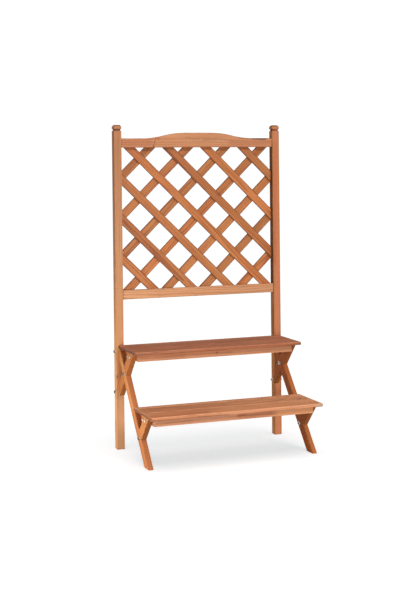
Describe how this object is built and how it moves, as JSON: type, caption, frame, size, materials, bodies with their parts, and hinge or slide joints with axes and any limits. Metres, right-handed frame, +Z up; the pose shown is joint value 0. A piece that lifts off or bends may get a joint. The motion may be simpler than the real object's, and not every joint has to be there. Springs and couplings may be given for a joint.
{
  "type": "plant ladder stand",
  "caption": "Wooden plant stand with two slatted shelves stepping forward on braced leg frames, in front of a square-post trellis with an arched top rail.",
  "frame": {"origin": "on the floor, in the middle of the overall width and depth", "axes": "+X to the viewer's right, -Y towards the front with the lower shelf, +Z up"},
  "size_m": [0.6512, 0.395, 1.155],
  "materials": {
    "light_stain": "light brown stain, oiled",
    "stained": "reddish brown stain, oiled",
    "zinc": "zinc plated"
  },
  "bodies": {
    "root": {"post_left": "light_stain", "post_right": "light_stain", "top_rail": "stained", "bottom_rail": "stained", "lattice_front_1": "stained", "lattice_front_2": "stained", "lattice_front_3": "stained", "lattice_front_4": "stained", "lattice_front_5": "stained", "lattice_front_6": "stained", "lattice_front_7": "stained", "lattice_rear_1": "stained", "lattice_rear_2": "stained", "lattice_rear_3": "stained", "lattice_rear_4": "stained", "lattice_rear_5": "stained", "lattice_rear_6": "stained", "lattice_rear_7": "stained", "leg_left": "light_stain", "leg_right": "light_stain", "upper_bracket_left": "light_stain", "upper_bracket_right": "light_stain", "lower_bracket_left": "light_stain", "lower_bracket_right": "light_stain", "upper_board_back": "stained", "upper_board_middle": "stained", "upper_board_front": "stained", "lower_board_back": "stained", "lower_board_middle": "stained", "lower_board_front": "stained", "upper_apron": "light_stain", "lower_apron": "light_stain", "upper_cleat_left": "stained", "upper_cleat_right": "stained", "lower_cleat_left": "stained", "lower_cleat_right": "stained", "rail_dowels": "light_stain", "apron_dowels": "light_stain", "lattice_nails": "zinc", "board_screws": "zinc", "cleat_screws": "zinc", "post_bolts": "zinc", "frame_bolts": "zinc", "shelf_bolts": "zinc", "washers": "zinc", "nuts": "zinc"}
  },
  "joints": []
}
